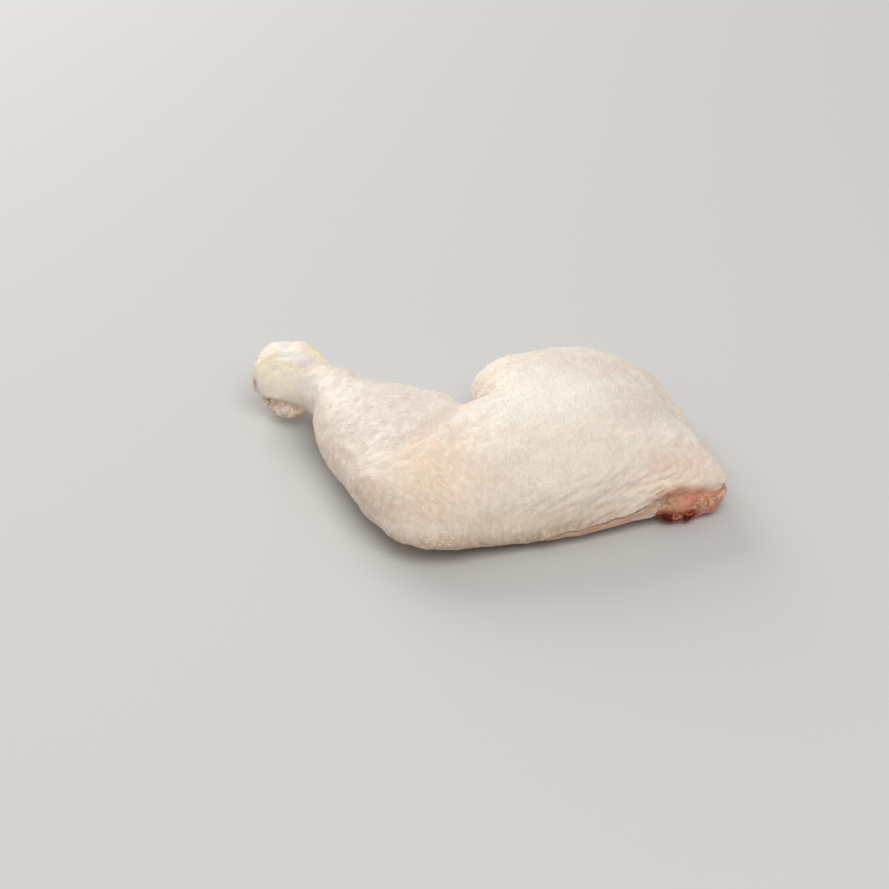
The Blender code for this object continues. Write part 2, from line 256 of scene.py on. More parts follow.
# ---- meat
SKIN_OVER_MEAT = 5  # how far the meat goes on under the skin
STRIP_INSET, UNDER_INSET = 0.35, 1.3  # how deep the inner side's muscles lie, bare and under skin
HIP_INSET, HIP_UNDER = -0.3, 0.7  # the same for the hip's meat
INNER_DEPTH = 0.9  # how much deeper the seams between the muscles lie
EDGE_SHADE_WIDTH = 6
MUSCLE_SIZE, MUSCLE_HEIGHT = 22, 0.8
GRAIN_HEADING, GRAIN_STRETCH, GRAIN_HEIGHT = 43, (15, 1.9, 1.9), 0.4
INNER_LUMP_SIZE, INNER_LUMP_HEIGHT = 7, 0.25
FIBRE_HEADING = 40
# The hock's end lies sunk in the skin, with its heads and torn lumps standing out.
HOCK_DEPTH, HEAD_HEIGHT = 1.4, 1.5
TORN_SIZE, TORN_HEIGHT = 2.2, 0.5
# The heads of cartilage in the hock: middle, radii, heading, strength.
HOCK_HEADS = (
    ((-106.5, -2, 21.5), (4.5, 4.5, 5), 0, 1),
    ((-106, 7.5, 16.5), (4.5, 4.5, 5.5), 0, 1),
)
# Torn bits: middle, spread, count, length, radius, lean.
HOCK_SHREDS = (
    ((-104.3, 7.4, 26.1), (0.4, 0.6, 0.5), 2, 1.3, 0.4, (-0.9, -0.3, 0.2)),
    ((-104.8, 4.5, 22.5), (0.3, 0.5, 0.6), 2, 1.2, 0.36, (-0.9, -0.3, 0)),
    ((-96.5, -0.4, 9), (1.2, 0.5, 0.9), 4, 1, 0.42, (-0.7, -0.5, -0.2)),
    ((-103, 8, 12), (1.5, 3, 2), 4, 1.3, 0.5, (-0.4, 0.3, -0.3)),
)
# The cut face of the hip: middle, radii, heading.
HIP_FACE = ((97, -3, 7), (15.5, 11, 11), 45)
HIP_RIM, HIP_SLOPE = 0.325, 4  # the zone's strength at its rim, and the field's gain over it
HIP_SKIRT = 0.9  # how far its rim dips under the inner side
HIP_PATCHES = {
    # middle, radii, heading, strength
    "silver": (
        ((88.5, -11.5, 11), (7, 4, 5), 45, 1),
        ((106, 4, 10), (4, 5, 4.5), 45, 0.5),
    ),
    "clots": (
        ((90.5, -12, 4.6), (7.5, 5, 3.2), 45, 1),
        ((97, -7.4, 4), (5, 3.5, 2.6), 45, 0.9),
        ((98.6, -6.2, 6.8), (4.5, 3, 1.3), 45, 0.7),
    ),
    "lobed": (
        ((102, -2, 8.6), (5.5, 4.5, 3.6), 45, 1),
        ((93.6, -9.4, 5.2), (1.8, 3, 1.5), 45, 0.8),
    ),
}
BULGE = ((98, -5, 11), (4, 3, 2.2), 40)
LOBE_SIZE, LOBE_HEIGHT = 3.4, 1.1
CLOT_SIZE, CLOT_HEIGHT = 3.8, 1.3
BULGE_HEIGHT, SILVER_DEPTH = 0.6, 0.3
FIBRE_STRETCH, FIBRE_HEIGHT = (4, 0.9, 0.9), 0.12
HIP_LUMP_SIZE, HIP_LUMP_HEIGHT = 3, 0.3
BLOOD_ZONE = ((95, -6, 14), (12.5, 9, 7), 45)
BLOOD_GAIN, BLOOD_REACH = 1.4, 3.6
HIP_BLOOD_REACH = 1.2

# A lumpy rope of fat along the hip's cut edge.
FAT_RADIUS = 1.2
FAT_LINE = (
    (102.5, -0.6, 10.6), (105.2, 1.6, 10.2), (106.6, 4.4, 10.2), (106.8, 8.4, 9.8), (105, 13, 10),
)


# ======== arrays
class Sheet:
    """Triangles in millimetres, with named values at their corners."""

    def __init__(self, places, faces, marks=None):
        self.places = places
        self.faces = faces
        self.marks = marks or {}

    def edges(self):
        """The two ends of each triangle's edges."""
        return np.r_[self.faces[:, [0, 1]], self.faces[:, [1, 2]], self.faces[:, [2, 0]]]

    def pairs(self):
        """Each two corners that share an edge, once."""
        return different(np.sort(self.edges(), axis=1), len(self.places))[0]

    def normals(self):
        """The unit normal at each corner."""
        a, b, c = (self.places[self.faces[:, k]] for k in range(3))
        flat = np.cross(b - a, c - a)
        total = np.zeros_like(self.places)
        for axis in range(3):
            for k in range(3):
                total[:, axis] += np.bincount(self.faces[:, k], flat[:, axis], len(self.places))
        return unit(total)


def raised(sheet, rise, marks):
    """The sheet with its corners moved out along their normals, with new marks."""
    return Sheet(sheet.places + sheet.normals() * rise[:, None], sheet.faces, marks)


def different(ends, count):
    """The different pairs of corner numbers below the count, and which of them each pair is."""
    _, first, back = np.unique(ends @ (count, 1), return_index=True, return_inverse=True)
    return ends[first], back


def unit(vectors):
    """The vectors at length 1."""
    return vectors / np.maximum(np.linalg.norm(vectors, axis=1, keepdims=True), 1e-12)


def averaged(values, pairs):
    """Each corner's value replaced by the mean of its neighbours'."""
    table = values.reshape(len(values), -1)
    ends = np.r_[pairs[:, 0], pairs[:, 1]]
    others = np.r_[pairs[:, 1], pairs[:, 0]]
    count = np.maximum(np.bincount(ends, minlength=len(values)), 1)
    columns = [np.bincount(ends, column[others], len(values)) / count for column in table.T]
    return np.stack(columns, axis=1).reshape(values.shape)


def softened(values, pairs, rounds):
    """The values after that many rounds of averaging."""
    for _ in range(rounds):
        values = (values + averaged(values, pairs)) / 2
    return values


def relaxed(places, pairs, rounds):
    """The places smoothed without the form shrinking."""
    for _ in range(rounds):
        for step in SMOOTHING_STEPS:
            places = places + step * (averaged(places, pairs) - places)
    return places


def chance(cells, seed):
    """A repeatable random number from 0 to 1 for each cell of a grid."""
    mixed = cells[:, 0] * 73856093 ^ cells[:, 1] * 19349663 ^ cells[:, 2] * 83492791 ^ seed * 2654435761
    mixed = (mixed ^ (mixed >> 13)) * 1274126177
    mixed = (mixed ^ (mixed >> 15)) * 668265263
    mixed = mixed ^ (mixed >> 16)
    return (mixed & 0xFFFFFF) / 0x1000000


def noise(places, size, seed):
    """Smooth noise, about -1 to 1, with features of that size."""
    scaled = places / size
    cells = np.floor(scaled).astype(np.int64)
    part = scaled - cells
    ease = part**3 * (part * (part * 6 - 15) + 10)
    total = np.zeros(len(places))
    for corner in product((0, 1), repeat=3):
        home = cells + np.array(corner)
        slope = np.stack([chance(home, seed * 3 + k) * 2 - 1 for k in range(3)], axis=1)
        weight = np.prod(np.where(corner, ease, 1 - ease), axis=1)
        total += weight * ((part - np.array(corner)) * slope).sum(axis=1)
    return total * 1.6


def turned(places, heading, stretch=1):
    """Places turned so that a heading, in degrees, lies along X, then divided by the stretch."""
    turn = radians(heading)
    along = places[:, 0] * cos(turn) + places[:, 1] * sin(turn)
    across = -places[:, 0] * sin(turn) + places[:, 1] * cos(turn)
    return np.c_[along, across, places[:, 2]] / np.array(stretch)


def zone(places, middle, radii, heading, strength=1):
    """A soft patch: the strength at its middle, fading out past its radii."""
    away = turned(places - np.array(middle), heading, radii)
    return strength * np.exp(-((away**2).sum(axis=1) ** 1.5))


def smooth_line(points, steps=10, closed=False):
    """Points with a smooth curve run through them."""
    p = np.array(points, float)
    p = np.r_[p[-1:], p, p[:2]] if closed else np.r_[p[:1], p, p[-1:]]
    t = np.linspace(0, 1, steps, endpoint=False)[:, None]
    out = []
    for a, b, c, d in zip(p, p[1:], p[2:], p[3:]):
        turn_in, turn_out = (c - a) / 2, (d - b) / 2
        rise = (2 * t**3 - 3 * t**2 + 1) * b + (-2 * t**3 + 3 * t**2) * c
        out.append(rise + (t**3 - 2 * t**2 + t) * turn_in + (t**3 - t**2) * turn_out)
    if not closed:
        out.append(p[-1:])
    return np.concatenate(out)


def nearest(places, line):
    """How far each place is from a line's points, and the index of the nearest."""
    far = np.full(len(places), np.inf)
    which = np.zeros(len(places), np.int64)
    for i, point in enumerate(line):
        away = ((places - point) ** 2).sum(axis=1)
        closer = away < far
        far[closer] = away[closer]
        which[closer] = i
    return np.sqrt(far), which


def in_outline(places, outline):
    """Which places lie inside an outline, in plan."""
    inside = np.zeros(len(places), bool)
    x, y = places[:, 0], places[:, 1]
    for (ax, ay), (bx, by) in zip(outline, np.roll(outline, -1, axis=0)):
        if ay != by:
            crossing = ax + (y - ay) * (bx - ax) / (by - ay)
            inside ^= ((ay > y) != (by > y)) & (x < crossing)
    return inside


# ======== sheets
def fine_solid(node):
    """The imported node's surface as small triangles, smoothed where it was faceted."""
    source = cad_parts[node]
    fine = bpy.data.objects.new("fine_solid", source.data.copy())
    bpy.context.scene.collection.objects.link(fine)
    step = fine.modifiers.new("fine", "REMESH")
    step.mode = "VOXEL"
    step.voxel_size = VOXEL * MM
    bpy.context.view_layer.update()
    mesh = bpy.data.meshes.new_from_object(fine.evaluated_get(bpy.context.evaluated_depsgraph_get()))
    places = np.empty(len(mesh.vertices) * 3)
    mesh.vertices.foreach_get("co", places)
    mesh.calc_loop_triangles()
    faces = np.empty(len(mesh.loop_triangles) * 3, np.int32)
    mesh.loop_triangles.foreach_get("vertices", faces)
    bpy.data.objects.remove(fine)
    bpy.data.meshes.remove(mesh)
    sheet = Sheet(places.reshape(-1, 3) / MM, faces.reshape(-1, 3).astype(np.int64))
    sheet.places = relaxed(sheet.places, sheet.pairs(), SMOOTHING_ROUNDS)
    return sheet


def tidy(sheet):
    """The sheet without corners that no triangle uses."""
    used, faces = np.unique(sheet.faces, return_inverse=True)
    marks = {name: values[used] for name, values in sheet.marks.items()}
    return Sheet(sheet.places[used], faces.reshape(-1, 3), marks)


def refined(sheet):
    """The sheet with each triangle split in four."""
    count = len(sheet.places)
    ends, back = different(np.sort(sheet.edges(), axis=1), count)

    def with_middles(values):
        return np.r_[values, (values[ends[:, 0]] + values[ends[:, 1]]) / 2]

    a, b, c = sheet.faces.T
    ab, bc, ca = (count + back).reshape(3, -1)
    corners = ((a, ab, ca), (ab, b, bc), (ca, bc, c), (ab, bc, ca))
    faces = np.concatenate([np.stack(three, axis=1) for three in corners])
    marks = {name: with_middles(values) for name, values in sheet.marks.items()}
    return Sheet(with_middles(sheet.places), faces, marks)


def clip(sheet, field):
    """The part of the sheet where the field is above 0, cut smoothly along 0."""
    inside = field > 0
    count = inside[sheet.faces].sum(axis=1)
    faces = [sheet.faces[count == 3]]
    made = []

    def cut_points(a, b):
        """New corners where the field passes 0 between corners a (inside) and b."""
        made.append(np.c_[a, b])
        return len(field) + sum(len(m) for m in made[:-1]) + np.arange(len(a))

    for k in range(3):
        a, b, c = (sheet.faces[:, (k + i) % 3] for i in range(3))
        alone = (count == 1) & inside[a]
        ab, ac = cut_points(a[alone], b[alone]), cut_points(a[alone], c[alone])
        faces.append(np.c_[a[alone], ab, ac])
        two = (count == 2) & ~inside[a]
        ba, ca = cut_points(b[two], a[two]), cut_points(c[two], a[two])
        faces.append(np.c_[ba, b[two], c[two]])
        faces.append(np.c_[ba, c[two], ca])
    ends, back = different(np.concatenate(made), len(field))
    share = (field[ends[:, 0]] / (field[ends[:, 0]] - field[ends[:, 1]])).clip(0.04, 0.96)
    number = np.r_[np.arange(len(field)), len(field) + back]

    def between(values):
        a, b = values[ends[:, 0]], values[ends[:, 1]]
        weight = share if values.ndim == 1 else share[:, None]
        return np.r_[values, a + (b - a) * weight]

    marks = {name: between(values) for name, values in sheet.marks.items()}
    return tidy(Sheet(between(sheet.places), number[np.concatenate(faces)], marks))


def edge_loops(sheet):
    """The sheet's open edges as closed rings of corners, each with the sheet on its left."""
    ends = sheet.edges()
    count = len(sheet.places)
    ahead, back = ends @ (count, 1), ends @ (1, count)
    following = {int(a): int(b) for a, b in ends[~np.isin(ahead, back)]}
    loops = []
    while following:
        start = next(iter(following))
        loop = [start]
        step = following.pop(start)
        while step in following:
            loop.append(step)
            step = following.pop(step)
        loops.append(np.array(loop))
    return loops


def ring_softened(values, rounds):
    """Values along a closed ring, averaged with their neighbours' that many times."""
    for _ in range(rounds):
        values = (np.roll(values, 1, axis=0) + 2 * values + np.roll(values, -1, axis=0)) / 4
    return values


def rolled_edge(sheet, normals):
    """Gives a skin an edge: a half round, and its inner side for a short way back."""
    total = count = len(sheet.places)
    places, faces, sources = [sheet.places], [sheet.faces], [np.arange(count)]
    for loop in edge_loops(sheet):
        if len(loop) < SMALLEST_RING:
            continue
        here = sheet.places[loop]
        up = unit(ring_softened(normals[loop], 6))
        along = unit(ring_softened(np.roll(here, -1, axis=0) - np.roll(here, 1, axis=0), 6))
        out = unit(np.cross(along, up))
        thin = 1 - BLOODY_THINNING * sheet.marks["thin"][loop]
        uneven = 1 + EDGE_UNEVENNESS * noise(here, EDGE_LUMP_SIZE, 31)
        radius = (SKIN_THICKNESS / 2 * thin * uneven)[:, None]
        rows = [loop]
        profile = [(sin(t), cos(t) - 1, 0) for t in np.linspace(0, pi, ROLL_STEPS)[1:]]
        profile += [(0, -2, 0.5), (0, -2.1, 1)]
        for side, rise, back in profile:
            places.append(here + out * (radius * side) + up * (radius * rise) - out * (TUCK * back))
            sources.append(loop)
            rows.append(total + np.arange(len(loop)))
            total += len(loop)
        for a, b in zip(rows, rows[1:]):
            a_next, b_next = np.roll(a, -1), np.roll(b, -1)
            faces.append(np.c_[a_next, a, b])
            faces.append(np.c_[a_next, b, b_next])
    source = np.concatenate(sources)
    marks = {name: values[source] for name, values in sheet.marks.items()}
    marks["edge"] = (np.arange(total) >= count).astype(float)
    return Sheet(np.concatenate(places), np.concatenate(faces), marks)


# ======== reliefs
def rising(values, width):
    """0 where the values are well below 0 and 1 well above it, changing over that width."""
    return 1 / (1 + np.exp(-values / width))


def fading(values, width):
    """1 where the values are 0, fading out over that width."""
    return np.exp(-((values / width) ** 2))


def cell_points(places, spacing, key):
    """Each of the 27 cells round the places, and the way from its point to each place."""
    cells = np.floor(places / spacing).astype(np.int64)
    for shift in product((-1, 0, 1), repeat=3):
        home = cells + np.array(shift)
        offset = np.stack([chance(home, key + k) - 0.5 for k in range(3)], axis=1)
        yield home, places - (home + 0.5 + JITTER * offset) * spacing


def bumps(sheet, headings, spacing, length, width, seed):
    """Small long bumps, 0 to 1, one in each cell of an uneven grid, along the headings."""
    places, normals = sheet.places, sheet.normals()
    best = np.zeros(len(places))
    flat = np.c_[-np.sin(headings), np.cos(headings), np.zeros(len(places))]
    long_way = unit(np.cross(flat, normals))
    for home, away in cell_points(places, spacing, seed * 5):
        along = (away * long_way).sum(axis=1) / length
        across = (away * flat).sum(axis=1) / width
        depth = (away * normals).sum(axis=1) / (2.5 * width)
        size = 0.55 + 0.45 * chance(home, seed * 5 + 3)
        best = np.maximum(best, size * np.exp(-(along**2 + across**2 + depth**2)))
    return best


def packed_lumps(places, spacing, seed):
    """Rounded lumps packed side by side, 1 on their tops, and the creases between, 1 in them."""
    first = np.full(len(places), 9.0)
    second = np.full(len(places), 9.0)
    for _, away in cell_points(places, spacing, seed * 7):
        far = np.linalg.norm(away, axis=1) / spacing
        second = np.minimum(second, np.maximum(first, far))
        first = np.minimum(first, far)
    apart = second - first
    return np.sqrt((2.2 * apart).clip(0, 1)), fading(apart, 0.12)


def lobed(places, size, seed):
    """Uneven rounded lobes, 1 on their tops, and the creases between, 1 in them."""
    swell = noise(places, size, seed) + 0.5 * noise(places, size / 2, seed + 10)
    return np.sqrt(np.abs(swell).clip(0, 1)), fading(swell, 0.06)


def fold(places, width, height, points):
    """A sunk or raised line that runs out at its far end, and how near each place is to it."""
    line = smooth_line(points)
    away, which = nearest(places, line)
    near = fading(away, width) * np.sqrt(1 - which / (len(line) - 1))
    return height * near, near


def wrinkles(places, middle, radii, heading, climb, length, spacing, height, seed):
    """Soft uneven wrinkles along a heading, climbing at an angle, inside an area."""
    along, across, up = turned(places, heading).T
    slope = radians(climb)
    climbing = along * cos(slope) + up * sin(slope)
    crossing = up * cos(slope) - along * sin(slope)
    stretched = np.c_[climbing / length, across / spacing, crossing / spacing]
    return height * noise(stretched, 1, seed) * zone(places, middle, radii, heading)


def streak_headings(places):
    """The heading of the follicle rows at each place, in radians."""
    start, end = np.array(KNEE_SWING)
    way = end - start
    share = ((places[:, :2] - start) @ way / (way @ way)).clip(0, 1)
    share = share * share * (3 - 2 * share)
    return np.radians(KNEE_HEADING + (THIGH_HEADING - KNEE_HEADING) * share)


def drumstick_share(places):
    """1 on the drumstick, 0 on the thigh, with a soft change along the crease."""
    return rising(CREASE_PLACE - places[:, 0] - CREASE_LEAN * places[:, 1], CREASE_WIDTH)


# ======== the pieces
def hip_field(sheet, normals):
    """How far each corner is from the skin's cut edge, below 0 inside the opening."""
    line = smooth_line(HIP_EDGE, closed=True)
    outline = np.array(HIP_EDGE)[:, :2].copy()
    middle = outline.mean(axis=0)
    outline[:OPEN_SIDE_POINTS] += OPEN_SIDE_REACH * unit(outline[:OPEN_SIDE_POINTS] - middle)
    away, which = nearest(sheet.places, line)
    below = sheet.places[:, 2] < line[which, 2]
    below |= normals[:, 2] < UNDERSIDE_SLOPE
    inside = in_outline(sheet.places, outline) & below
    return np.where(inside, -away, away).clip(-FIELD_REACH, FIELD_REACH)


def hock_field(places):
    """How far each corner is inside the cut across the hock."""
    away = places - np.array(HOCK_CUT)
    field = away @ np.array(HOCK_INWARD)
    far = np.linalg.norm(away, axis=1)
    return np.where(far < HOCK_REACH, field, FIELD_REACH)


def folded(places):
    """How far the skin's folds, swells and wrinkles stand out, and how near the sunk folds are, for
    painted shade in them.
    """
    rise = np.zeros(len(places))
    crease_shade = np.zeros(len(places))
    for width, height, points in FOLDS:
        step, near = fold(places, width, height, points)
        rise += step
        if height < 0:
            crease_shade = np.maximum(crease_shade, near)
    for middle, radius, height in SWELLS:
        rise += height * np.exp(-((places - middle) ** 2).sum(axis=1) / radius**2)
    for i, area in enumerate(WRINKLE_AREAS):
        rise += wrinkles(places, *area, seed=40 + i)
    for i, (size, height) in enumerate(UNEVENNESS):
        rise += height * noise(places, size, 50 + i)
    return rise, crease_shade


def follicles(solid):
    """How far the follicles stand out, and the marks of where each kind is."""
    headings = streak_headings(solid.places)
    drum = drumstick_share(solid.places)
    smooth = zone(solid.places, *KNUCKLE_ZONE)
    goose = zone(solid.places, *GOOSE_ZONE)
    streaks = bumps(solid, headings, *STREAKS, seed=1)
    dots = bumps(solid, headings, *DOTS, seed=2) * drum * (1 - smooth)
    pimples = bumps(solid, headings, *GOOSEBUMPS, seed=3) * goose
    plain = (1 - drum) * (1 - goose)
    knee = (headings - radians(THIGH_HEADING)) / radians(KNEE_HEADING - THIGH_HEADING) * (1 - drum)
    rise = STREAK_HEIGHT * streaks * (plain * (1 + KNEE_GAIN * knee) + DRUMSTICK_STREAKS * drum)
    rise += DOT_HEIGHT * dots + GOOSE_HEIGHT * pimples
    follicle = streaks * plain + dots + pimples
    return rise, dict(follicle=follicle, smooth=smooth, drumstick=drum, goose=goose, knee=knee)


def skin_relief(solid):
    """How far the skin stands out from the solid, and the skin's colour marks."""
    places = solid.places
    folds, crease_shade = folded(places)
    rise, marks = follicles(solid)
    # Painted shade: the low mark paints the skin a darker tan towards the floor, less along the hip's
    # lip and on the knuckle.
    low = ((PAINTED_SHADE_TOP - places[:, 2]) / (PAINTED_SHADE_TOP - PAINTED_SHADE_END)).clip(0, 1)
    marks["low"] = low * (1 - zone(places, *LIP_ZONE)) * (1 - (1 - PAINTED_SHADE_AT_KNUCKLE) * marks["smooth"])
    # Painted shade: this mark darkens the skin in the sunk folds.
    marks["crease_shade"] = crease_shade
    marks["sore"] = fold(places, SORE_WIDTH, 0, SORE_LINE)[1]
    marks.update({name: zones(places, patches) for name, patches in TINT_ZONES.items()})
    return folds + rise, marks


def zones(places, patches):
    """The strongest of several patches at each place."""
    return np.max([zone(places, *patch) for patch in patches], axis=0)


def eased(solid, pairs):
    """The solid's places, smooth where the skin bridges an edge or a groove, with no bulk lost."""
    places, normals = solid.places, solid.normals()
    soft = softened(places, pairs, EASING_ROUNDS)
    lost = softened(((places - soft) * normals).sum(axis=1), pairs, EASING_ROUNDS)
    share = zones(places, EASED_ZONES)
    return places + share[:, None] * (soft + normals * lost[:, None] - places)


def skin_sheet(solid, opening, relief, marks):
    """The skin, with a rolled edge round each opening."""
    skin = raised(solid, relief, marks)
    skin.marks["normal"] = softened(solid.normals(), solid.pairs(), 4)
    blood = zone(solid.places, *BLOOD_ZONE) * BLOOD_GAIN
    skin.marks["blood"] = (blood * fading(opening, BLOOD_REACH)).clip(0, 1)
    skin.marks["thin"] = blood.clip(0, 1)
    skin = clip(skin, opening)
    return rolled_edge(skin, unit(skin.marks.pop("normal")))


def inner_sheet(solid, field, relief):
    """The inner side of the leg that the skin leaves bare: muscles under a thin membrane."""
    places = solid.places
    muscles, seams = packed_lumps(places, MUSCLE_SIZE, 70)
    grain = noise(turned(places, GRAIN_HEADING, GRAIN_STRETCH), 1, 72)
    rise = MUSCLE_HEIGHT * muscles + GRAIN_HEIGHT * grain
    rise += INNER_LUMP_HEIGHT * noise(places, INNER_LUMP_SIZE, 74)
    rise -= INNER_DEPTH + STRIP_INSET + (UNDER_INSET - STRIP_INSET) * rising(field + 1, 0.5)
    rise += relief * rising(field + 1, 1)
    resting = places[:, 2] < 1
    rise = np.where(resting, np.minimum(rise, -0.1), rise)
    # The edge mark steers painted shade: a darker brown on the meat just under the skin's edge.
    sheet = raised(solid, rise, {"seam": seams, "edge": fading(field, EDGE_SHADE_WIDTH)})
    return clip(sheet, SKIN_OVER_MEAT - field)


def hip_sheet(solid, field, relief):
    """The cut face of the hip, finer than the rest: pink muscle, lobes of fat and clots."""
    near = HIP_SLOPE * (zone(solid.places, *HIP_FACE) - HIP_RIM)
    marks = {"field": field, "near": near, "relief": relief}
    face = refined(refined(clip(Sheet(solid.places, solid.faces, marks), near + 0.8)))
    face.places = relaxed(face.places, face.pairs(), 6)
    places = face.places
    field, near, relief = (face.marks[name] for name in marks)
    patches = {name: zones(places, areas) for name, areas in HIP_PATCHES.items()}
    lobes, seams = lobed(places, LOBE_SIZE, 75)
    clots, gaps = lobed(places, CLOT_SIZE, 76)
    grain = noise(turned(places, FIBRE_HEADING, FIBRE_STRETCH), 1, 77)
    rise = relief * rising(field + 1, 1)
    rise += FIBRE_HEIGHT * grain + HIP_LUMP_HEIGHT * noise(places, HIP_LUMP_SIZE, 78)
    rise -= HIP_INSET + (HIP_UNDER - HIP_INSET) * rising(field - 0.15, 0.2)
    rise += patches["lobed"] * LOBE_HEIGHT * (lobes - 0.4)
    rise += patches["clots"] * CLOT_HEIGHT * (clots - 0.5 + 0.4 * noise(places, 0.9, 79))
    rise += BULGE_HEIGHT * zone(places, *BULGE) - SILVER_DEPTH * patches["silver"]
    rise -= (HIP_SKIRT + STRIP_INSET - HIP_INSET) * fading(near.clip(0, 4.5), 0.5)
    marks = {
        **patches,
        "seam": seams * patches["lobed"],
        "gap": gaps * patches["clots"],
        "blood": fading(field, HIP_BLOOD_REACH),
    }
    return clip(raised(face, rise, marks), np.minimum(near, SKIN_OVER_MEAT - 1 - field))


def hock_sheet(solid, field):
    """The cut end of the hock: two heads of cartilage with torn tissue round them."""
    near = np.where(field < FIELD_REACH - 1, 4 - field, -1)
    end = refined(clip(Sheet(solid.places, solid.faces, {"field": field}), near))
    places = end.places
    field = end.marks["field"]
    heads = zones(places, HOCK_HEADS)
    lumps, gaps = packed_lumps(places, TORN_SIZE, 81)
    bare = 0.3 + HEAD_HEIGHT * heads + TORN_HEIGHT * lumps * (1 - heads)
    rise = bare * rising(-field - 0.3, 0.5) - HOCK_DEPTH + 0.12 * noise(places, 1.3, 82)
    return clip(raised(end, rise, {"head": heads, "gap": gaps * (1 - heads)}), 3 - field)


def rope(radius, points, seed, steps=9, sides=14):
    """A lumpy rope that tapers to both ends, as a closed sheet."""
    line = smooth_line(points, steps)
    along = unit(np.gradient(line, axis=0))
    side = unit(np.cross(along, (0, 0, 1)))
    up = np.cross(side, along)
    share = np.linspace(0, 1, len(line))
    body = radius * np.sqrt(np.sin(pi * (0.04 + 0.92 * share)))
    turns = np.linspace(0, 2 * pi, sides, endpoint=False)[:, None]
    ring = np.cos(turns) * side[:, None] + np.sin(turns) * up[:, None]
    places = (line[:, None] + body[:, None, None] * ring).reshape(-1, 3)
    middle = np.repeat(line, sides, axis=0)
    swell = 1 + 0.28 * noise(places, 2 * radius, seed) + 0.14 * noise(places, 0.8 * radius, seed + 1)
    places = middle + (places - middle) * swell[:, None]
    row, turn = (a.ravel() for a in np.mgrid[: len(line) - 1, :sides])
    a, b = row * sides + turn, row * sides + (turn + 1) % sides
    faces = [np.c_[a, b, b + sides], np.c_[a, b + sides, a + sides]]
    ends = np.arange(sides)
    last = (len(line) - 1) * sides
    count = len(places)
    faces.append(np.c_[np.full(sides, count), (ends + 1) % sides, ends])
    faces.append(np.c_[np.full(sides, count + 1), last + ends, last + (ends + 1) % sides])
    places = np.r_[places, line[:1], line[-1:]]
    return Sheet(places, np.concatenate(faces))


def joined(sheets):
    """Several sheets as one."""
    starts = np.cumsum([0] + [len(sheet.places) for sheet in sheets])
    faces = [sheet.faces + start for sheet, start in zip(sheets, starts)]
    return Sheet(np.concatenate([sheet.places for sheet in sheets]), np.concatenate(faces))


def shred_sheet(solid, tufts, seed):
    """Small torn tongues that stand out of the surface near some points."""
    draw = np.random.default_rng(seed)
    normals = solid.normals()
    made = []
    for middle, spread, count, length, radius, lean in tufts:
        for _ in range(count):
            wish = np.array(middle) + draw.normal(0, 1, 3) * np.array(spread)
            near = np.argmin(((solid.places - wish) ** 2).sum(axis=1))
            root, out = solid.places[near], normals[near]
            way = unit((out * 0.6 + np.array(lean) + draw.normal(0, 0.35, 3))[None])[0]
            reach = length * draw.uniform(0.6, 1.3)
            bend = draw.normal(0, 0.25, 3) * reach
            points = (root - out * 0.8, root + way * reach * 0.5, root + way * reach + bend * 0.5)
            made.append(rope(radius * draw.uniform(0.7, 1.2), points, int(draw.integers(1000)), 4, 8))
    return joined(made)


# ======== materials
def colour(*levels):
    """Red, green and blue in 0 to 255, as screens count them, in the renderer's linear numbers."""
    linear = [((v / 255 + 0.055) / 1.055) ** 2.4 if v > 10 else v / 255 / 12.92 for v in levels]
    return (*linear, 1)


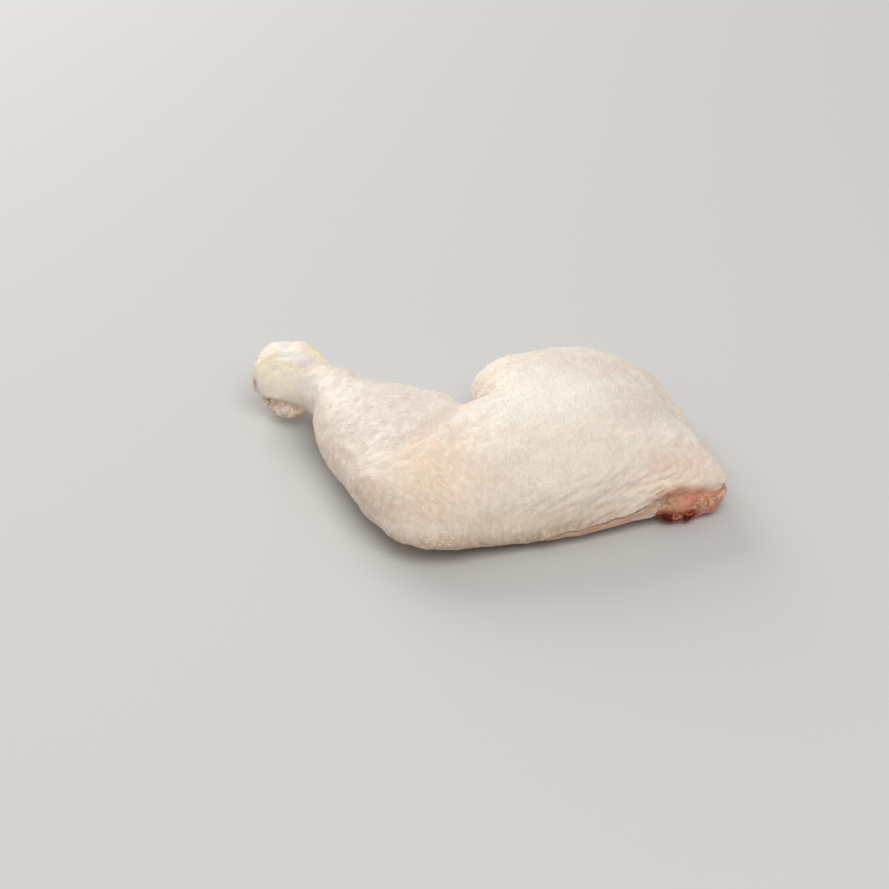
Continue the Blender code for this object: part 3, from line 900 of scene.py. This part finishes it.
class Look:
    """A Principled material and short ways to feed it. Sizes are in millimetres."""

    def __init__(self, name, **settings):
        self.material = bpy.data.materials.new(name)
        self.material.use_nodes = True
        self.tree = self.material.node_tree
        self.shader = self.tree.nodes["Principled BSDF"]
        for socket, value in settings.items():
            self.shader.inputs[socket.replace("_", " ")].default_value = value
        self.coordinates = self.node("TexCoord").outputs["Object"]

    def feed(self, socket, value):
        """Gives a socket a number, a colour, an output or the piece's mark of that name."""
        if isinstance(value, str):
            value = self.node("Attribute", attribute_name=value).outputs["Fac"]
        if isinstance(value, bpy.types.NodeSocket):
            self.tree.links.new(value, socket)
        else:
            socket.default_value = value

    def node(self, kind, inputs=None, **settings):
        """A new node with those settings and inputs."""
        made = self.tree.nodes.new("ShaderNode" + kind)
        for name, value in settings.items():
            setattr(made, name, value)
        for socket, value in (inputs or {}).items():
            self.feed(made.inputs[socket], value)
        return made

    def placed(self, size, stretch=(1, 1, 1), turn=0, seed=0):
        """Coordinates that count in steps of that size, turned and stretched."""
        inputs = {
            "Vector": self.coordinates,
            "Location": (0.37 * seed, 0.11 * seed, 0.23 * seed),
            "Rotation": (0, 0, radians(turn)),
            "Scale": [size * MM * s for s in stretch],
        }
        return self.node("Mapping", inputs, vector_type="TEXTURE").outputs["Vector"]

    def noise(self, size, detail=3, **placing):
        """Noise from 0 to 1 with features of that size."""
        inputs = {"Vector": self.placed(size, **placing), "Scale": 1, "Detail": detail}
        return self.node("TexNoise", inputs).outputs["Fac"]

    def streaks(self, seed):
        """Sparse thin dashes along the rows of follicles, and specks on the drumstick."""
        thigh = self.noise(0.6, 2, stretch=(4.2, 1, 1), turn=THIGH_HEADING, seed=seed)
        knee = self.noise(1.6, 2, stretch=(3.2, 1, 1), turn=KNEE_HEADING, seed=seed)
        specks = self.noise(1.7, 2, seed=seed)
        rows = self.mix("knee", thigh, knee)
        return self.span(self.mix("drumstick", rows, specks), 0.52, 0.72)

    def specks(self, spacing, size):
        """Small round specks, 1 in their middles, that far apart."""
        cells = self.node("TexVoronoi", {"Vector": self.placed(spacing), "Scale": 1})
        share = size / spacing
        return self.span(cells.outputs["Distance"], 0.4 * share, 0.6 * share, 1, 0)

    def span(self, value, low, high, out_low=0, out_high=1):
        """A value run from low..high to out_low..out_high, and held there."""
        names = ("Value", "From Min", "From Max", "To Min", "To Max")
        inputs = dict(zip(names, (value, low, high, out_low, out_high)))
        return self.node("MapRange", inputs, interpolation_type="SMOOTHSTEP").outputs["Result"]

    def math(self, operation, a, b):
        """Two values added, multiplied or compared."""
        return self.node("Math", {0: a, 1: b}, operation=operation).outputs["Value"]

    def times(self, a, b):
        """Two values multiplied."""
        return self.math("MULTIPLY", a, b)

    def mix(self, share, low, high):
        """From low to high by the share: each an output, or red, green and blue in 0 to 255."""
        low, high = (colour(*c) if isinstance(c, tuple) else c for c in (low, high))
        return self.node("Mix", {"Factor": share, 6: low, 7: high}, data_type="RGBA").outputs[2]

    def tone(self, value, dark, light, low=0.35, high=0.65):
        """From dark to light where a value runs from low to high."""
        return self.mix(self.span(value, low, high), dark, light)

    def tint(self, base, over, share, strength):
        """The base with another colour over it, as much as the share times the strength."""
        return self.mix(self.times(share, strength), base, over)

    def finish(self, base, height, depth, strength, roughness=None):
        """Feeds the shader its colour, bumps and roughness, and returns the material."""
        bump = self.node("Bump", {"Height": height, "Distance": depth * MM, "Strength": strength})
        self.feed(self.shader.inputs["Base Color"], base)
        self.feed(self.shader.inputs["Normal"], bump.outputs["Normal"])
        if roughness is not None:
            self.feed(self.shader.inputs["Roughness"], roughness)
        return self.material


SKIN_SHINE = {
    "IOR": 1.4,
    "Subsurface_Weight": 0.4,
    "Subsurface_Scale": 0.0012,
    "Subsurface_Radius": (1, 0.75, 0.6),
}
MEAT_SHINE = {
    "Roughness": 0.3,
    "IOR": 1.4,
    "Subsurface_Weight": 0.3,
    "Subsurface_Scale": 0.002,
    "Subsurface_Radius": (1, 0.25, 0.15),
    "Coat_Weight": 0.25,
    "Coat_Roughness": 0.15,
}
CLOT_SHINE = {**MEAT_SHINE, "Coat_Weight": 0.08, "Specular_IOR_Level": 0.35}
FAT_SHINE = {"Roughness": 0.36, "Subsurface_Weight": 0.35, "Subsurface_Scale": 0.002}
BONE_SHINE = {"Roughness": 0.33, "Subsurface_Weight": 0.25, "Subsurface_Scale": 0.002}

# A tint of the skin: its mark, where the mottling starts and ends, its least share, its colour.
SKIN_TINTS = (
    ("lavender", 0.3, 0.6, 0.7, (220, 206, 199)),
    ("yellow", 0.3, 0.6, 0.5, (240, 213, 183)),
    ("pink", 0.3, 0.65, 0.5, (236, 203, 188)),
    # pale: paler skin, partly painted light on the knuckle's face
    ("pale", 0.3, 0.6, 0.75, (252, 246, 236)),
    # peach: painted light
    ("peach", 0.3, 0.6, 0.8, (254, 232, 212)),
    ("cream", 0.3, 0.6, 0.7, (254, 236, 204)),
    # tan: painted shade under folds and low near the floor
    ("tan", 0.3, 0.6, 0.7, (196, 164, 134)),
    # low: painted shade, a darker tan towards the floor
    ("low", 0.2, 0.5, 0.75, (176, 142, 112)),
)


def skin_tones(look, patches, mottle):
    """Cream skin with its tinted zones, all mottled."""
    base = look.tone(patches, (231, 217, 202), (239, 227, 214))
    for mark, low, high, least, over in SKIN_TINTS:
        base = look.tint(base, over, mark, look.span(mottle, low, high, least, 1))
    return look.mix(look.span(mottle, 0.45, 0.75, 0, 0.25), base, (212, 192, 176))


def knuckle_blotches(look, base):
    """The base with cream and grey blotches over it on the knuckle."""
    blotches = look.noise(4.5, seed=7)
    knuckle = look.span("smooth", 0.2, 0.6)
    base = look.tint(base, (254, 241, 212), knuckle, look.span(blotches, 0.52, 0.64, 0, 0.75))
    return look.tint(base, (240, 226, 222), knuckle, look.span(blotches, 0.48, 0.36, 0, 0.65))


def streak_strength(look):
    """How clearly the streaks show: most at the knee and in the goosebumps."""
    rows = look.span("knee", 0, 0.5, 0.85, 2.4)
    strength = look.math("MAXIMUM", rows, look.times("drumstick", 0.65))
    strength = look.times(strength, look.span("smooth", 0.1, 1, 1, 0.4))
    return look.math("MAXIMUM", strength, look.times("goose", 2.2))


def pores(look, patches):
    """Sparse dark pores, on some patches of the skin, but not on the knuckle."""
    found = look.times(look.specks(5, 0.55), look.span(patches, 0.45, 0.6))
    return look.times(found, look.math("SUBTRACT", 1, "smooth"))


def skin_look():
    """Pale raw skin: cream, with lavender meat and yellow fat showing through it."""
    look = Look("raw_skin", **SKIN_SHINE)
    patches = look.noise(17)
    mottle = look.noise(3.2)
    fine = look.noise(0.9, 2)
    light, dark = look.streaks(1), look.streaks(2)
    strength = streak_strength(look)
    base = knuckle_blotches(look, skin_tones(look, patches, mottle))
    for layer in (
        ((254, 245, 230), look.times(light, strength), 0.45),
        ((216, 176, 146), look.times(dark, strength), 0.3),
        ((250, 241, 228), "follicle", 0.5),
        # painted shade in the sunk folds
        ((208, 166, 138), "crease_shade", 0.22),
        ((150, 122, 104), pores(look, patches), 0.5),
        ((236, 220, 202), "edge", 0.5),
        ((210, 156, 128), "blood", 1),
        ((156, 72, 52), "sore", 0.8),
    ):
        base = look.tint(base, *layer)
    relief = look.times(look.times(light, 1.3), look.math("MINIMUM", strength, 0.8))
    relief = look.math("ADD", look.math("ADD", fine, mottle), relief)
    return look.finish(base, relief, 0.2, 0.75, look.span(mottle, 0.3, 0.7, 0.36, 0.52))


def meat_look():
    """The bare inner side: pink muscle under a pale membrane, with painted shade in a darker brown near
    the skin's edge.
    """
    look = Look("inner_meat", **MEAT_SHINE)
    fibres = look.noise(1.3, stretch=(5, 1, 1), turn=FIBRE_HEADING)
    patches = look.noise(9)
    mottle = look.noise(2.2)
    muscle = look.tone(fibres, (206, 140, 120), (224, 168, 148))
    membrane = look.tone(fibres, (222, 192, 170), (232, 208, 188))
    base = look.tone(patches, muscle, membrane, 0.46, 0.6)
    base = look.mix("seam", base, (236, 214, 196))
    # Painted shade: a darker brown over the meat near the skin's edge, under its lip.
    fat = look.tone(fibres, (180, 144, 118), (198, 166, 140))
    base = look.tint(base, fat, "edge", look.span(mottle, 0.3, 0.5, 0.6, 1))
    wet = look.span(mottle, 0.3, 0.7, 0.26, 0.44)
    return look.finish(base, look.math("ADD", fibres, mottle), 0.2, 0.6, wet)


def hip_look():
    """The hip's cut face: salmon muscle, tan membrane, orange-pink lobes and dark red clots."""
    look = Look("hip_meat", **CLOT_SHINE)
    lumps = look.noise(2.6, seed=3)
    fibres = look.noise(0.7, stretch=(4, 1, 1), turn=FIBRE_HEADING)
    mottle = look.noise(1.5)
    base = look.tone(mottle, (196, 126, 104), (210, 146, 124), 0.3, 0.7)
    base = look.mix(look.span(fibres, 0.5, 0.75, 0, 0.5), base, (222, 166, 144))
    base = look.mix("silver", base, look.tone(mottle, (170, 124, 98), (204, 166, 138)))
    # Painted shade: a wide reddish-brown rim round the clots darkens the low part of the membrane.
    base = look.mix(look.span("clots", 0.02, 0.3, 0, 0.85), base, (150, 78, 54))
    clots = look.tone(lumps, (92, 22, 10), (190, 112, 80), 0.5, 0.64)
    base = look.tone("clots", base, clots, 0.35, 0.75)
    lobes = look.tone(mottle, (200, 138, 110), (222, 174, 146), 0.3, 0.7)
    base = look.mix(look.span("lobed", 0.2, 0.75, 0, 0.95), base, lobes)
    base = look.mix("seam", base, (146, 64, 44))
    base = look.tint(base, (64, 12, 8), "gap", 0.6)
    base = look.tint(base, (202, 136, 110), "blood", 0.7)
    wet = look.span(mottle, 0.3, 0.7, 0.24, 0.42)
    wet = look.math("ADD", wet, look.span("clots", 0.2, 0.6, 0, 0.25))
    return look.finish(base, look.math("ADD", fibres, mottle), 0.15, 0.6, wet)


def hock_look():
    """White cartilage, with tan and brownish red tissue round it."""
    look = Look("hock_end", **BONE_SHINE)
    mottle = look.noise(1.8)
    tissue = look.tone(mottle, (200, 146, 118), (226, 190, 162))
    tissue = look.mix("gap", tissue, (160, 92, 70))
    bone = look.tone(mottle, (232, 214, 192), (244, 234, 220))
    return look.finish(look.tone("head", tissue, bone, 0.35, 0.6), mottle, 0.2, 0.5)


def mottled_look(name, shine, size, detail, dark, light, depth):
    """One tissue, mottled from dark to light."""
    look = Look(name, **shine)
    mottle = look.noise(size, detail)
    return look.finish(look.tone(mottle, dark, light), mottle, depth, 0.5)


def piece(name, sheet, material):
    """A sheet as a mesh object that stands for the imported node."""
    mesh = bpy.data.meshes.new(name)
    mesh.vertices.add(len(sheet.places))
    mesh.vertices.foreach_set("co", (sheet.places * MM).astype(np.float32).ravel())
    mesh.loops.add(sheet.faces.size)
    mesh.loops.foreach_set("vertex_index", sheet.faces.astype(np.int32).ravel())
    mesh.polygons.add(len(sheet.faces))
    mesh.polygons.foreach_set("loop_start", np.arange(0, sheet.faces.size, 3, dtype=np.int32))
    mesh.update(calc_edges=True)
    mesh.validate()
    for mark, values in sheet.marks.items():
        layer = mesh.attributes.new(mark, "FLOAT", "POINT")
        layer.data.foreach_set("value", values.astype(np.float32))
    mesh.shade_smooth()
    mesh.materials.append(material)
    made = bpy.data.objects.new(name, mesh)
    bpy.context.scene.collection.objects.link(made)
    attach(made, "root")
    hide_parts("leg_quarter")


# ======== the studio
def area_light(name, heading, height, far, size, power, tint):
    """A square light that faces the leg."""
    light = bpy.data.lights.new(name, "AREA")
    light.shape = "SQUARE"
    light.size = size
    light.energy = power
    light.color = tint
    made = bpy.data.objects.new(name, light)
    turn, climb = radians(heading), radians(height)
    flat = far * cos(climb)
    made.location = (flat * cos(turn), flat * sin(turn), far * sin(climb))
    made.rotation_euler = (-made.location).to_track_quat("-Z", "Y").to_euler()
    bpy.context.scene.collection.objects.link(made)


def studio():
    """A pale floor, soft lights behind and in front, a weak fill, and the camera."""
    bpy.ops.mesh.primitive_plane_add(size=30, location=(0, 0, -0.0002))
    floor = bpy.context.object
    floor.name = "floor"
    look = Look("floor", Roughness=0.7)
    look.feed(look.shader.inputs["Base Color"], colour(206, 205, 203))
    floor.data.materials.append(look.material)

    for settings in LIGHTS:
        area_light(*settings)

    world = bpy.data.worlds.new("studio")
    bpy.context.scene.world = world
    world.use_nodes = True
    background = world.node_tree.nodes["Background"]
    background.inputs["Color"].default_value = (1, 1, 1, 1)
    background.inputs["Strength"].default_value = AMBIENT
    bpy.context.scene.view_settings.view_transform = "Standard"

    camera = bpy.data.objects.new("camera", bpy.data.cameras.new("camera"))
    camera.data.lens = CAMERA_LENS
    camera.data.sensor_width = CAMERA_SENSOR
    camera.location = [v * MM for v in CAMERA_PLACE]
    camera.rotation_euler = [radians(v) for v in CAMERA_TURN]
    bpy.context.scene.collection.objects.link(camera)
    bpy.context.scene.camera = camera


# ======== build
studio()
solid = fine_solid("leg_quarter")
pairs = solid.pairs()
solid.places = eased(solid, pairs)
hip = softened(hip_field(solid, solid.normals()), pairs, FIELD_ROUNDS)
hock = hock_field(solid.places)
ripple = RIPPLE_SHARE * noise(solid.places, RIPPLE_SIZE, 62)
wave = EDGE_WAVE * (noise(solid.places, EDGE_WAVE_SIZE, 61) + ripple)
hip, hock = hip + wave, hock + wave
relief, skin_marks = skin_relief(solid)
piece("skin", skin_sheet(solid, np.minimum(hip, hock), relief, skin_marks), skin_look())
piece("inner_side", inner_sheet(solid, hip, relief), meat_look())
piece("hip_meat", hip_sheet(solid, hip, relief), hip_look())
fat = mottled_look("fat", FAT_SHINE, 1.6, 3, (206, 160, 134), (226, 192, 166), 0.15)
piece("hip_fat", refined(rope(FAT_RADIUS, FAT_LINE, 90)), fat)
piece("hock_end", hock_sheet(solid, hock), hock_look())
tags = mottled_look("tags", MEAT_SHINE, 1.1, 2, (228, 206, 184), (250, 240, 226), 0.12)
piece("skin_tags", shred_sheet(solid, HOCK_SHREDS, 6), tags)
